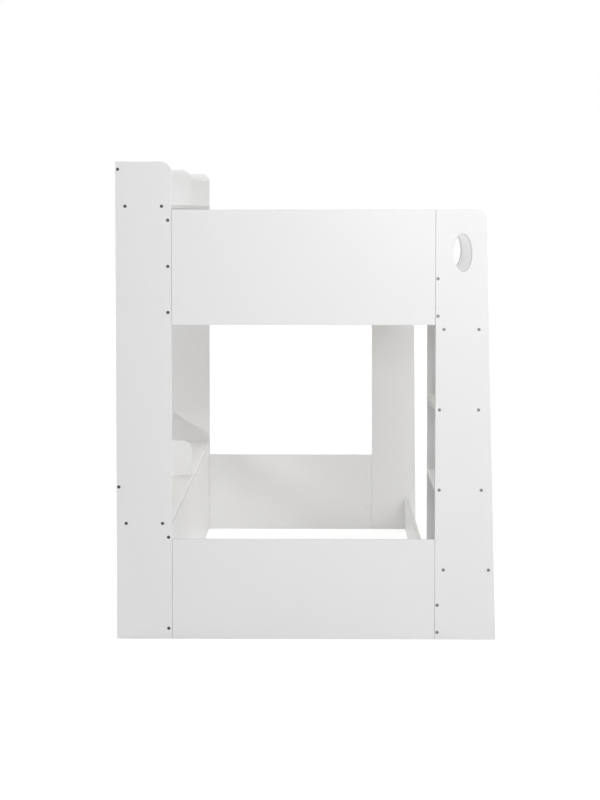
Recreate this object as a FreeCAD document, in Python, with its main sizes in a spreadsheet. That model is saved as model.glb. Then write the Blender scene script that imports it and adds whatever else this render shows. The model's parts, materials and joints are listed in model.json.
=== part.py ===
import FreeCAD, Part
import math
import os
import re
import Sketcher

# A white bunk bed for two single mattresses: shelves along the wall side, a fixed ladder at one end.
# X runs from the wall side to the front, Y from the ladder end to the plain end, Z up, in millimetres.
# The origin lies on the floor under the middle of the bed.

SIZES = {
    # Bed
    "board_thickness": 16,
    "inner_length": 1915,
    "inner_width": 910,
    "edge_round": 1.5,
    # Tall panels and end boards
    "tall_height": 1654,
    "tall_depth": 192,
    "tall_corner_radius": 35,
    "guard_top": 1489,
    "upper_board_height": 397,
    "lower_board_height": 348,
    "seam_gap": 0.6,
    # Shelves
    "shelf_wall_height": 140,
    "shelf_wall_drop": 5,
    "divider_setback": 8,
    "divider_corner_radius": 38,
    # Rails and guard
    "back_rail_height": 395,
    "back_rail_setback": 4,
    "entry_rail_height": 179,
    "lower_front_height": 150,
    # Leg of the plain end
    "leg_inner_reach": 155,
    "leg_top_depth": 191,
    "leg_bottom_depth": 205,
    # Ladder
    "ladder_clear_width": 400,
    "ladder_top_depth": 174,
    "ladder_bottom_depth": 210,
    "ladder_corner_radius": 34,
    "notch_clearance": 0.5,
    "hand_hole_width": 60,
    "hand_hole_height": 128,
    "hand_hole_round": 5,
    "hand_hole_level": 1341,
    "hand_hole_inset": 92,
    "first_step_level": 243,
    "step_pitch": 278,
    "step_1_back_setback": 15,
    "step_1_front_setback": 5,
    "step_2_back_setback": 0,
    "step_2_front_setback": 24,
    "step_3_back_setback": 0,
    "step_3_front_setback": 28,
    "step_4_back_setback": 15,
    "step_4_front_setback": 21,
    # Slatted base of the upper bunk
    "ledger_thickness": 20,
    "ledger_height": 30,
    "slat_thickness": 16,
    "slat_width": 70,
    "slat_end_gap": 3,
    "slat_margin": 30,
    # Panel screws
    "screw_head_diameter": 11.6,
    "screw_shank_diameter": 7,
    "screw_core_diameter": 5,
    "screw_length": 50,
    "screw_socket_width": 4.6,
    "screw_socket_depth": 3.2,
    "screw_clearance": 0.15,
    "back_screw_drop": 21,
    "shelf_screw_inset": 33,
    "rail_screw_top_inset": 40,
    "rail_screw_bottom_inset": 37,
    "front_screw_inset": 25,
    "lower_front_screw_drop": 30,
    "step_screw_inset": 14,
    # Wood screws of the slatted base
    "wood_screw_head_diameter": 8,
    "wood_screw_shank_diameter": 4,
    "wood_screw_length": 31,
    "wood_screw_slot_width": 1.2,
    "wood_screw_slot_length": 4.6,
    "wood_screw_slot_depth": 1.6,
    # Cam locks and dowels of the flush end boards
    "cam_diameter": 15,
    "cam_depth": 12.2,
    "cam_setback": 24,
    "cam_bolt_diameter": 6,
    "cam_bolt_neck_diameter": 4.4,
    "cam_bolt_head_length": 3,
    "cam_bolt_grip": 11,
    "cam_bore_diameter": 6.6,
    "cam_socket_diameter": 4.4,
    "cam_socket_depth": 3.6,
    "cap_diameter": 18,
    "cap_thickness": 1.2,
    "cap_stem_length": 3,
    "dowel_diameter": 8,
    "dowel_length": 30,
    "dowel_chamfer": 0.8,
    "bore_end_gap": 0.6,
}

SLAT_COUNT = 14
STEP_COUNT = 4
cam_place_shares = (0.3, 0.7)
dowel_place_shares = (0.15, 0.85)
back_screw_place_shares = (0.08, 0.36, 0.64, 0.92)
divider_screw_place_shares = (0.25, 0.75)
divider_back_screw_share = 0.5
ledger_screw_gap_indexes = (0, 3, 6, 9, 12)
least_cut_share = 0.5
# Faces whose normals agree this closely run smoothly into each other
SMOOTH_JOIN = 0.99

doc = FreeCAD.newDocument("BunkBed")
sheet = doc.addObject("Spreadsheet::Sheet", "Sizes")
for row, (alias, size) in enumerate(SIZES.items(), start=1):
    sheet.set(f"A{row}", alias)
    sheet.set(f"B{row}", str(size))
    sheet.setAlias(f"B{row}", alias)
doc.recompute()

NAME = re.compile(r"[a-z][a-z0-9_]*")
nodes = {}


def cells(expression):
    """The expression with each size's name pointing at its cell in the sheet."""
    return NAME.sub(lambda name: "Sizes." + name[0] if name[0] in SIZES else name[0], str(expression))


def value(expression):
    """The expression's present value."""
    return float(sheet.evalExpression(str(expression)))


# Places that several pieces share
BACK_FACE = "(-(tall_depth + inner_width + ladder_bottom_depth) / 2)"
BACK_SEAM = f"({BACK_FACE} + tall_depth)"
FRONT_SEAM = f"({BACK_SEAM} + inner_width)"
BACK_RAIL_FACE = f"({BACK_SEAM} - back_rail_setback)"
BACK_RAIL_MIDDLE = f"({BACK_RAIL_FACE} - board_thickness / 2)"
FRONT_RAIL_MIDDLE = f"({FRONT_SEAM} + board_thickness / 2)"
LEG_EDGE = f"({FRONT_SEAM} - leg_inner_reach)"
LADDER_END_FACE = "(-inner_length / 2)"
LADDER_END_OUTSIDE = f"({LADDER_END_FACE} - board_thickness)"
LADDER_END_MIDDLE = f"({LADDER_END_FACE} - board_thickness / 2)"
PLAIN_END_FACE = "(inner_length / 2)"
PLAIN_END_OUTSIDE = f"({PLAIN_END_FACE} + board_thickness)"
PLAIN_END_MIDDLE = f"({PLAIN_END_FACE} + board_thickness / 2)"
LADDER_INNER_NEAR = f"({LADDER_END_FACE} + ladder_clear_width)"
LADDER_INNER_FAR = f"({LADDER_INNER_NEAR} + board_thickness)"
LADDER_INNER_MIDDLE = f"({LADDER_INNER_NEAR} + board_thickness / 2)"
UPPER_SHELF_TOP = "(tall_height - shelf_wall_drop - shelf_wall_height)"
UPPER_SHELF_UNDERSIDE = f"({UPPER_SHELF_TOP} - board_thickness)"
LOWER_SHELF_UNDERSIDE = "back_rail_height"
LOWER_SHELF_TOP = f"({LOWER_SHELF_UNDERSIDE} + board_thickness)"
UPPER_RAIL_BOTTOM = f"({UPPER_SHELF_UNDERSIDE} - back_rail_height)"
ENTRY_RAIL_TOP = f"({UPPER_RAIL_BOTTOM} + entry_rail_height)"
UPPER_BOARD_BOTTOM = "(guard_top - upper_board_height)"
LEDGER_TOP = f"({UPPER_RAIL_BOTTOM} + ledger_height)"
SLAT_TOP = f"({LEDGER_TOP} + slat_thickness)"
SLAT_PITCH = f"((inner_length - 2 * slat_margin - slat_width) / {SLAT_COUNT - 1})"
SCREW_GRIP = "(screw_length - board_thickness + bore_end_gap)"

# Sketch plane square to each of a body's own axes, and the side to which its normal points
PLANES = {"x": ("YZ_Plane", 1), "y": ("XZ_Plane", -1), "z": ("XY_Plane", 1)}


def origin_plane(body, role):
    return next(feature for feature in body.Origin.OriginFeatures if feature.Role == role)


def new_sketch(body, name, role, offset="0"):
    """An empty sketch on one of the body's own planes, moved along its normal."""
    sketch = body.newObject("Sketcher::SketchObject", name)
    sketch.AttachmentSupport = [(origin_plane(body, role), "")]
    sketch.MapMode = "FlatFace"
    sketch.setExpression("AttachmentOffset.Base.z", cells(offset))
    return sketch


def bind(sketch, name, kind, references, expression):
    """A dimension of the sketch that follows the sheet."""
    index = sketch.addConstraint(Sketcher.Constraint(kind, *references, value(expression)))
    sketch.renameConstraint(index, name)
    sketch.setExpression("Constraints." + name, cells(expression))


def pin(sketch, name, geometry, vertex, place):
    """Both coordinates of one sketch point, measured from the sketch's origin."""
    for kind, expression in zip(("DistanceX", "DistanceY"), place):
        bind(sketch, name + kind[-1], kind, (-1, 1, geometry, vertex), expression)


def draw_outline(sketch, points):
    """A closed chain of straight lines through the points."""
    corners = [FreeCAD.Vector(value(u), value(v), 0) for u, v in points]
    count = len(corners)
    for index in range(count):
        sketch.addGeometry(Part.LineSegment(corners[index], corners[(index + 1) % count]))
    for index in range(count):
        sketch.addConstraint(Sketcher.Constraint("Coincident", index, 2, (index + 1) % count, 1))
    for index, place in enumerate(points):
        pin(sketch, f"corner{index}", index, 1, place)


def draw_circles(sketch, places, diameter):
    """A circle of one diameter at each place."""
    for index, place in enumerate(places):
        centre = FreeCAD.Vector(value(place[0]), value(place[1]), 0)
        sketch.addGeometry(Part.Circle(centre, FreeCAD.Vector(0, 0, 1), value(diameter) / 2))
        bind(sketch, f"width{index}", "Diameter", (index,), diameter)
        pin(sketch, f"centre{index}", index, 3, place)


def round_edges(body, name, chosen, radius):
    """A fillet on the edges of the body's tip that the test chooses."""
    base = body.Tip
    names = [f"Edge{number}" for number, edge in enumerate(base.Shape.Edges, start=1) if chosen(edge)]
    fillet = body.newObject("PartDesign::Fillet", name)
    fillet.Base = (base, names)
    fillet.setExpression("Radius", cells(radius))
    doc.recompute()


def cut(body, feature, least_volume):
    """Takes the finished cut into account and makes sure that it removed material."""
    before = feature.BaseFeature.Shape.Volume
    doc.recompute()
    if before - feature.Shape.Volume < least_cut_share * least_volume:
        raise RuntimeError(f"{feature.Name} of {body.Name} misses its board")


# Boards

LAYS = {
    # The frame's axis along the board's own x, y and thickness, and whether that axis runs backwards
    "across": (("X", 1), ("Z", 1), ("Y", -1)),
    "along": (("Y", 1), ("Z", 1), ("X", 1)),
    "flat": (("X", 1), ("Y", 1), ("Z", 1)),
}
AXES = {"X": FreeCAD.Vector(1, 0, 0), "Y": FreeCAD.Vector(0, 1, 0), "Z": FreeCAD.Vector(0, 0, 1)}


class Board:
    """One flat board: an outline padded to its thickness, its corners and edges rounded, then bored."""

    def __init__(self, name, lay, corner, outline, thickness="board_thickness", corners=()):
        """corner is the board's lowest X, Y and Z; corners lists (outline point index, radius)."""
        self.lay = LAYS[lay]
        self.corner = dict(zip("XYZ", corner))
        self.thickness = thickness
        self.bores = 0
        self.body = doc.addObject("PartDesign::Body", name)
        self.body.Label = name
        self.place()
        self.pad(outline)
        for index, radius in corners:
            round_edges(self.body, f"corner{index}", self.corner_edge(outline[index]), radius)
        round_edges(self.body, "eased_edges", self.sharp_edge, "edge_round")
        nodes[name] = (self.body, 1)

    def place(self):
        """Turns the board to the way it lies and moves it to its corner."""
        axes = [AXES[axis] * sign for axis, sign in self.lay]
        turn = FreeCAD.Rotation(axes[0], axes[1], axes[2], "XYZ")
        self.body.Placement = FreeCAD.Placement(FreeCAD.Vector(0, 0, 0), turn)
        for axis, sign in self.lay:
            start = self.corner[axis] if sign > 0 else f"{self.corner[axis]} + {self.thickness}"
            self.body.setExpression(f"Placement.Base.{axis.lower()}", cells(start))

    def pad(self, outline):
        sketch = new_sketch(self.body, "outline", "XY_Plane")
        draw_outline(sketch, outline)
        pad = self.body.newObject("PartDesign::Pad", "thickness")
        pad.Profile = sketch
        pad.setExpression("Length", cells(self.thickness))
        doc.recompute()

    def corner_edge(self, point):
        """Chooses the edge through the thickness at one point of the outline."""
        u, v = value(point[0]), value(point[1])
        reach = value("edge_round") / 2

        def chosen(edge):
            ends = [vertex.Point for vertex in edge.Vertexes]
            return all(math.hypot(end.x - u, end.y - v) < reach for end in ends)
        return chosen

    def sharp_edge(self, edge):
        """Chooses every edge but those where a rounded corner runs smoothly into a straight side."""
        middle = edge.valueAt((edge.FirstParameter + edge.LastParameter) / 2)
        sides = self.body.Tip.Shape.ancestorsOfType(edge, Part.Face)
        normals = [side.normalAt(*side.Surface.parameter(middle)) for side in sides]
        return normals[0].dot(normals[1]) < SMOOTH_JOIN

    def own(self, axis, place):
        """A coordinate of the frame, measured along the board's own axis."""
        sign = dict(self.lay)[axis]
        if sign > 0:
            return f"({place}) - ({self.corner[axis]})"
        return f"({self.corner[axis]}) + {self.thickness} - ({place})"

    def bore(self, axis, start, towards, places, diameter, depth=None, sunk_diameter=None):
        """Holes along one axis of the frame, starting on the plane at start; no depth goes right through.

        places holds the other two coordinates of the frame, in the order X, Y, Z."""
        order = [name for name, _ in self.lay]
        own_axis = "xyz"[order.index(axis)]
        role, normal = PLANES[own_axis]
        offset = f"{normal} * ({self.own(axis, start)})"
        others = [name for name in "XYZ" if name != axis]
        sketch_axes = [name for name in order if name != axis]
        self.bores += 1
        sketch = new_sketch(self.body, f"bore_places{self.bores}", role, offset)
        own_places = []
        for place in places:
            by_axis = dict(zip(others, place))
            own_places.append([self.own(name, by_axis[name]) for name in sketch_axes])
        draw_circles(sketch, own_places, diameter)
        doc.recompute()
        inwards = towards * dict(self.lay)[axis]
        kind = "PartDesign::Hole" if sunk_diameter else "PartDesign::Pocket"
        feature = self.body.newObject(kind, f"bores{self.bores}")
        feature.Profile = sketch
        doc.recompute()
        feature.Reversed = inwards == normal
        reach = depth or self.thickness
        if sunk_diameter:
            feature.Threaded = False
            feature.DepthType = "ThroughAll"
            feature.setExpression("Diameter", cells(diameter))
            feature.HoleCutType = "Countersink"
            feature.HoleCutCustomValues = True
            feature.setExpression("HoleCutDiameter", cells(sunk_diameter))
            feature.HoleCutCountersinkAngle = 90
        else:
            feature.setExpression("Length", cells(reach))
        cut(self.body, feature, len(places) * math.pi / 4 * value(diameter) ** 2 * value(reach))

    def screw_through(self, axis, start, towards, places):
        """Countersunk holes for panel screws, with their heads on the plane at start."""
        self.bore(axis, start, towards, places, "screw_shank_diameter + 2 * screw_clearance",
                  sunk_diameter="screw_head_diameter + 2 * screw_clearance")

    def screw_into(self, axis, start, towards, places):
        """Holes in the board's edge that take the threads of panel screws."""
        self.bore(axis, start, towards, places, "screw_core_diameter + 2 * screw_clearance", SCREW_GRIP)


def rectangle(width, height):
    return [("0", "0"), (width, "0"), (width, height), ("0", height)]


TALL_OUTLINE = rectangle("tall_depth", "tall_height")
TALL_CORNERS = [(2, "tall_corner_radius")]
ladder_end_tall = Board("ladder_end_tall_panel", "across", (BACK_FACE, LADDER_END_OUTSIDE, "0"),
                        TALL_OUTLINE, corners=TALL_CORNERS)
plain_end_tall = Board("plain_end_tall_panel", "across", (BACK_FACE, PLAIN_END_FACE, "0"),
                       TALL_OUTLINE, corners=TALL_CORNERS)

# End boards: flush between two panels, with a narrow joint line at each side
END_BOARD_START = f"({BACK_SEAM} + seam_gap)"
LADDER_BOARD_WIDTH = "(inner_width - 2 * seam_gap)"
PLAIN_BOARD_WIDTH = f"({LEG_EDGE} - {BACK_SEAM} - 2 * seam_gap)"
ladder_end_upper = Board("ladder_end_upper_board", "across",
                         (END_BOARD_START, LADDER_END_OUTSIDE, UPPER_BOARD_BOTTOM),
                         rectangle(LADDER_BOARD_WIDTH, "upper_board_height"))
ladder_end_lower = Board("ladder_end_lower_board", "across", (END_BOARD_START, LADDER_END_OUTSIDE, "0"),
                         rectangle(LADDER_BOARD_WIDTH, "lower_board_height"))
plain_end_upper = Board("plain_end_upper_board", "across",
                        (END_BOARD_START, PLAIN_END_FACE, UPPER_BOARD_BOTTOM),
                        rectangle(PLAIN_BOARD_WIDTH, "upper_board_height"))
plain_end_lower = Board("plain_end_lower_board", "across", (END_BOARD_START, PLAIN_END_FACE, "0"),
                        rectangle(PLAIN_BOARD_WIDTH, "lower_board_height"))

# Tapered panels: straight towards the bed, sloping outwards at the front
TAPERED_CORNERS = [(2, "ladder_corner_radius")]
NOTCH = "(board_thickness + notch_clearance)"
UPPER_NOTCH_TOP = f"({ENTRY_RAIL_TOP} + notch_clearance)"
UPPER_NOTCH_BOTTOM = f"({UPPER_RAIL_BOTTOM} - notch_clearance)"
LOWER_NOTCH_TOP = "(lower_front_height + notch_clearance)"
NOTCHED_OUTLINE = [
    (NOTCH, "0"), ("ladder_bottom_depth", "0"), ("ladder_top_depth", "guard_top"), ("0", "guard_top"),
    ("0", UPPER_NOTCH_TOP), (NOTCH, UPPER_NOTCH_TOP), (NOTCH, UPPER_NOTCH_BOTTOM), ("0", UPPER_NOTCH_BOTTOM),
    ("0", LOWER_NOTCH_TOP), (NOTCH, LOWER_NOTCH_TOP),
]
INSIDE_CORNER = "edge_round + notch_clearance"
NOTCHED_CORNERS = TAPERED_CORNERS + [(index, INSIDE_CORNER) for index in (5, 6, 9)]


def tapered(bottom_depth, top_depth):
    return [("0", "0"), (bottom_depth, "0"), (top_depth, "guard_top"), ("0", "guard_top")]


plain_end_leg = Board("plain_end_leg_panel", "across", (LEG_EDGE, PLAIN_END_FACE, "0"),
                      tapered("leg_bottom_depth", "leg_top_depth"), corners=TAPERED_CORNERS)
ladder_outer = Board("ladder_outer_panel", "across", (FRONT_SEAM, LADDER_END_OUTSIDE, "0"),
                     tapered("ladder_bottom_depth", "ladder_top_depth"), corners=TAPERED_CORNERS)
ladder_inner = Board("ladder_inner_panel", "across", (FRONT_SEAM, LADDER_INNER_NEAR, "0"),
                     NOTCHED_OUTLINE, corners=NOTCHED_CORNERS)

SLOPE_RUN = "(ladder_bottom_depth - ladder_top_depth)"
SLOPE_LENGTH = f"sqrt({SLOPE_RUN} ^ 2 + guard_top ^ 2)"
HOLE_CENTRE = ("hand_hole_inset", "hand_hole_level")
HOLE_TIP = (f"hand_hole_inset - hand_hole_height / 2 * {SLOPE_RUN} / {SLOPE_LENGTH}",
            f"hand_hole_level + hand_hole_height / 2 * guard_top / {SLOPE_LENGTH}")
HOLE_SIDE = (f"hand_hole_inset + hand_hole_width / 2 * guard_top / {SLOPE_LENGTH}",
             f"hand_hole_level + hand_hole_width / 2 * {SLOPE_RUN} / {SLOPE_LENGTH}")


def hand_hole(board):
    """An oval grip through a ladder panel, leaning with the panel's sloping edge, its rims rounded."""
    body = board.body
    sketch = new_sketch(body, "hand_hole_outline", "XY_Plane")
    places = (HOLE_TIP, HOLE_SIDE, HOLE_CENTRE)
    tip, side, centre = [FreeCAD.Vector(value(u), value(v), 0) for u, v in places]
    sketch.addGeometry(Part.Ellipse(tip, side, centre))
    sketch.exposeInternalGeometry(0)
    pin(sketch, "centre", 0, 3, HOLE_CENTRE)
    pin(sketch, "tip", 1, 1, HOLE_TIP)
    bind(sketch, "width", "Distance", (2,), "hand_hole_width")
    pocket = body.newObject("PartDesign::Pocket", "hand_hole")
    pocket.Profile = sketch
    pocket.Reversed = True
    pocket.setExpression("Length", cells("board_thickness"))
    area = math.pi / 4 * value("hand_hole_width") * value("hand_hole_height")
    cut(body, pocket, area * value("board_thickness"))

    def rim(edge):
        middle = edge.BoundBox.Center
        return math.hypot(middle.x - centre.x, middle.y - centre.y) < value("hand_hole_width / 2")
    round_edges(body, "hand_hole_rims", rim, "hand_hole_round")


hand_hole(ladder_outer)
hand_hole(ladder_inner)

# Steps, from the floor up
STEP_LEVELS = [f"(first_step_level + {index} * step_pitch)" for index in range(STEP_COUNT)]
STEP_BACKS = [f"({FRONT_SEAM} + step_{number}_back_setback)" for number in range(1, STEP_COUNT + 1)]
STEP_FRONTS = []
steps = []
for number in range(1, STEP_COUNT + 1):
    level = STEP_LEVELS[number - 1]
    panel_depth = f"(ladder_bottom_depth - {SLOPE_RUN} * {level} / guard_top)"
    STEP_FRONTS.append(f"({FRONT_SEAM} + {panel_depth} - step_{number}_front_setback)")
    back = STEP_BACKS[number - 1]
    corner = (back, LADDER_END_FACE, f"{level} - board_thickness / 2")
    outline = rectangle(f"({STEP_FRONTS[-1]} - {back})", "ladder_clear_width")
    steps.append(Board(f"ladder_step_{number}", "flat", corner, outline))

# Shelves along the wall side
SHELF_LEVELS = {
    "upper": (UPPER_SHELF_UNDERSIDE, UPPER_SHELF_TOP),
    "lower": (LOWER_SHELF_UNDERSIDE, LOWER_SHELF_TOP),
}
DIVIDER_DEPTH = "(tall_depth - board_thickness - divider_setback)"
shelves, shelf_backs, dividers = {}, {}, {}
for tier, (underside, top) in SHELF_LEVELS.items():
    shelves[tier] = Board(f"{tier}_shelf", "flat", (BACK_FACE, LADDER_END_FACE, underside),
                          rectangle("tall_depth", "inner_length"))
    shelf_backs[tier] = Board(f"{tier}_shelf_back", "along", (BACK_FACE, LADDER_END_FACE, top),
                              rectangle("inner_length", "shelf_wall_height"))
    dividers[tier] = Board(f"{tier}_shelf_divider", "across",
                           (f"{BACK_FACE} + board_thickness", "-board_thickness / 2", top),
                           rectangle(DIVIDER_DEPTH, "shelf_wall_height"),
                           corners=[(2, "divider_corner_radius")])

# Rails
back_rails = {}
for tier, bottom in (("upper", UPPER_RAIL_BOTTOM), ("lower", "0")):
    back_rails[tier] = Board(f"{tier}_back_rail", "along",
                             (f"{BACK_RAIL_FACE} - board_thickness", LADDER_END_FACE, bottom),
                             rectangle("inner_length", "back_rail_height"))
lower_front = Board("lower_front_rail", "along", (FRONT_SEAM, LADDER_END_FACE, "0"),
                    rectangle("inner_length", "lower_front_height"))

# Front of the upper bunk: low where the ladder comes up, full height from the inner ladder panel on
GUARD_START = "(ladder_clear_width + board_thickness)"
GUARD_HEIGHT = f"(guard_top - {UPPER_RAIL_BOTTOM})"
upper_front = Board("upper_front_board", "along", (FRONT_SEAM, LADDER_END_FACE, UPPER_RAIL_BOTTOM), [
    ("0", "0"), ("inner_length", "0"), ("inner_length", GUARD_HEIGHT), (GUARD_START, GUARD_HEIGHT),
    (GUARD_START, "entry_rail_height"), ("0", "entry_rail_height")], corners=[(4, INSIDE_CORNER)])

# Slatted base of the upper bunk
LEDGER_LENGTH = "(inner_length - 2 * slat_end_gap)"
LEDGER_START = f"({LADDER_END_FACE} + slat_end_gap)"
back_ledger = Board("back_slat_ledger", "along", (BACK_RAIL_FACE, LEDGER_START, UPPER_RAIL_BOTTOM),
                    rectangle(LEDGER_LENGTH, "ledger_height"), "ledger_thickness")
front_ledger = Board("front_slat_ledger", "along",
                     (f"{FRONT_SEAM} - ledger_thickness", LEDGER_START, UPPER_RAIL_BOTTOM),
                     rectangle(LEDGER_LENGTH, "ledger_height"), "ledger_thickness")
SLAT_BACK = f"({BACK_RAIL_FACE} + slat_end_gap)"
SLAT_FRONT = f"({FRONT_SEAM} - slat_end_gap)"
SLAT_STARTS = [f"({LADDER_END_FACE} + slat_margin + {index} * {SLAT_PITCH})" for index in range(SLAT_COUNT)]
slats = [Board(f"slat_{index + 1:02d}", "flat", (SLAT_BACK, start, LEDGER_TOP),
               rectangle(f"({SLAT_FRONT} - {SLAT_BACK})", "slat_width"), "slat_thickness")
         for index, start in enumerate(SLAT_STARTS)]


# Fasteners: one of each kind is modelled and placed as often as the bed needs it

def turned(name, profile):
    """A round piece along Z: its half profile, as radius and height, turned about the axis."""
    body = doc.addObject("PartDesign::Body", name)
    sketch = new_sketch(body, "half_profile", "XZ_Plane")
    draw_outline(sketch, profile)
    revolution = body.newObject("PartDesign::Revolution", "turned")
    revolution.Profile = sketch
    revolution.ReferenceAxis = (sketch, ["V_Axis"])
    revolution.Angle = 360
    doc.recompute()
    return body


def hollow(body, name, role, offset, reversed_cut, draw, depth, least_area):
    """A pocket in a fastener, drawn on one of its planes."""
    sketch = new_sketch(body, name + "_outline", role, offset)
    draw(sketch)
    doc.recompute()
    pocket = body.newObject("PartDesign::Pocket", name)
    pocket.Profile = sketch
    pocket.Reversed = reversed_cut
    pocket.setExpression("Length", cells(depth))
    cut(body, pocket, least_area * value(depth))


def draw_hexagon(sketch):
    """The screw's socket, across flats along the sketch's x."""
    half = "screw_socket_width / 2"
    corner = "screw_socket_width / sqrt(3)"
    middle = f"{corner} / 2"
    draw_outline(sketch, [(half, f"-{middle}"), (half, middle), ("0", corner), (f"-{half}", middle),
                          (f"-{half}", f"-{middle}"), ("0", f"-{corner}")])


def draw_cross(sketch):
    """The recess of a wood screw: two crossing slots, anticlockwise from the right arm."""
    long, short = "wood_screw_slot_length / 2", "wood_screw_slot_width / 2"
    draw_outline(sketch, [
        (long, f"-{short}"), (long, short), (short, short), (short, long), (f"-{short}", long),
        (f"-{short}", short), (f"-{long}", short), (f"-{long}", f"-{short}"), (f"-{short}", f"-{short}"),
        (f"-{short}", f"-{long}"), (short, f"-{long}"), (short, f"-{short}")])


def panel_screw():
    """A socket screw for boards: conical head, shank within the first board, core in the second."""
    head, shank, core = "screw_head_diameter / 2", "screw_shank_diameter / 2", "screw_core_diameter / 2"
    body = turned("panel_screw", [
        ("0", "0"), (head, "0"), (shank, f"{head} - {shank}"), (shank, f"board_thickness + {core} - {shank}"),
        (core, "board_thickness"), (core, f"screw_length - {core}"), ("0", "screw_length")])
    area = value("screw_socket_width") ** 2 * math.sqrt(3) / 2
    hollow(body, "socket", "XY_Plane", "0", True, draw_hexagon, "screw_socket_depth", area)
    return body


def wood_screw():
    """A countersunk screw with a cross recess and a pointed end."""
    head, shank = "wood_screw_head_diameter / 2", "wood_screw_shank_diameter / 2"
    body = turned("wood_screw", [
        ("0", "0"), (head, "0"), (shank, f"{head} - {shank}"),
        (shank, "wood_screw_length - wood_screw_shank_diameter"), ("0", "wood_screw_length")])
    area = 2 * value("wood_screw_slot_length") * value("wood_screw_slot_width")
    hollow(body, "recess", "XY_Plane", "0", True, draw_cross, "wood_screw_slot_depth", area / 2)
    return body


def cam():
    """The round lock of a cam joint, bored from the side for its bolt and from the face for its cap."""
    radius = "cam_diameter / 2"
    body = turned("cam", [("0", "0"), (radius, "0"), (radius, "cam_depth"), ("0", "cam_depth")])
    bore = "cam_bore_diameter"

    def draw_socket(sketch):
        draw_circles(sketch, [("0", "0")], "cam_socket_diameter")

    def draw_bore(sketch):
        draw_circles(sketch, [("0", "board_thickness / 2")], bore)
    area = math.pi / 4 * value("cam_socket_diameter") ** 2
    hollow(body, "socket", "XY_Plane", "0", True, draw_socket, "cam_socket_depth", area)
    depth = f"{radius} + cam_bolt_head_length + bore_end_gap"
    area = math.pi / 4 * value(bore) ** 2
    hollow(body, "bolt_bore", "YZ_Plane", radius, False, draw_bore, depth, area * least_cut_share)
    return body


def cam_bolt():
    """The pin of a cam joint: screwed into one board's edge, its head held by the cam in the other."""
    radius, neck = "cam_bolt_diameter / 2", "cam_bolt_neck_diameter / 2"
    head_start = "cam_bolt_grip + cam_setback"
    return turned("cam_bolt", [
        ("0", "0"), (radius, "0"), (radius, f"{head_start} - 2 * cam_bolt_head_length"),
        (neck, f"{head_start} - cam_bolt_head_length"), (neck, head_start),
        (radius, head_start), (radius, f"{head_start} + cam_bolt_head_length"),
        ("0", f"{head_start} + cam_bolt_head_length")])


def cover_cap():
    """A shallow cap on the board's face, with a stem in the cam's socket."""
    radius, stem = "cap_diameter / 2", "(cam_socket_diameter / 2 - screw_clearance)"
    return turned("cover_cap", [
        ("0", "-cap_thickness"), (f"{radius} - cap_thickness", "-cap_thickness"), (radius, "0"),
        (stem, "0"), (stem, "cap_stem_length"), ("0", "cap_stem_length")])


def dowel():
    """A beech peg with both ends chamfered, half of it in each board."""
    radius, half = "dowel_diameter / 2", "dowel_length / 2"
    return turned("dowel", [
        ("0", f"-{half}"), (f"{radius} - dowel_chamfer", f"-{half}"), (radius, f"dowel_chamfer - {half}"),
        (radius, f"{half} - dowel_chamfer"), (f"{radius} - dowel_chamfer", half), ("0", half)])


def along(axis, sign):
    """The turn that points a fastener along one axis of the frame."""
    return FreeCAD.Rotation(AXES["Z"], AXES[axis] * sign)


def fasteners(name, kind, rows):
    """A node of equal fasteners; each row gives a turn and the places that share it."""
    links = []
    for turn, places in rows:
        for place in places:
            link = doc.addObject("App::Link", f"{name}_{len(links) + 1}")
            link.LinkedObject = kind
            link.Placement = FreeCAD.Placement(FreeCAD.Vector(0, 0, 0), turn)
            for coordinate, expression in zip("xyz", place):
                link.setExpression(f"Placement.Base.{coordinate}", cells(expression))
            links.append(link)
    group = doc.addObject("Part::Compound", name)
    group.Label = name
    group.Links = links
    nodes[name] = (group, len(links))


PANEL_SCREW = panel_screw()
WOOD_SCREW = wood_screw()
CAM = cam()
CAM_BOLT = cam_bolt()
COVER_CAP = cover_cap()
DOWEL = dowel()


def at_y(places, y):
    """Places given as X and Z, on the plane at y."""
    return [(x, y, z) for x, z in places]


# Screws through the tall panels into the shelves, shelf backs and back rails

SHELF_SCREW_XS = (f"{BACK_FACE} + shelf_screw_inset", f"{BACK_SEAM} - shelf_screw_inset")
SHELF_BACK_X = f"{BACK_FACE} + board_thickness / 2"
UPPER_RAIL_LOW_SCREW = f"({UPPER_RAIL_BOTTOM} + rail_screw_bottom_inset)"
UPPER_RAIL_HIGH_SCREW = f"({UPPER_SHELF_UNDERSIDE} - rail_screw_top_inset)"
RAIL_SCREW_LEVELS = {
    "upper": [UPPER_RAIL_LOW_SCREW, f"({UPPER_RAIL_LOW_SCREW} + {UPPER_RAIL_HIGH_SCREW}) / 2",
              UPPER_RAIL_HIGH_SCREW],
    "lower": ["rail_screw_bottom_inset", "back_rail_height - rail_screw_top_inset"],
}
tall_screw_places = []
for tier, (underside, top) in SHELF_LEVELS.items():
    back_places = [(SHELF_BACK_X, f"{top} + shelf_wall_height - back_screw_drop")]
    shelf_places = [(x, f"{underside} + board_thickness / 2") for x in SHELF_SCREW_XS]
    rail_places = [(BACK_RAIL_MIDDLE, level) for level in RAIL_SCREW_LEVELS[tier]]
    for board, places in ((shelf_backs[tier], back_places), (shelves[tier], shelf_places),
                          (back_rails[tier], rail_places)):
        board.screw_into("Y", LADDER_END_FACE, 1, places)
        board.screw_into("Y", PLAIN_END_FACE, -1, places)
        tall_screw_places += places
ladder_end_tall.screw_through("Y", LADDER_END_OUTSIDE, 1, tall_screw_places)
plain_end_tall.screw_through("Y", PLAIN_END_OUTSIDE, -1, tall_screw_places)
fasteners("ladder_end_tall_screws", PANEL_SCREW,
          [(along("Y", 1), at_y(tall_screw_places, LADDER_END_OUTSIDE))])
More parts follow.
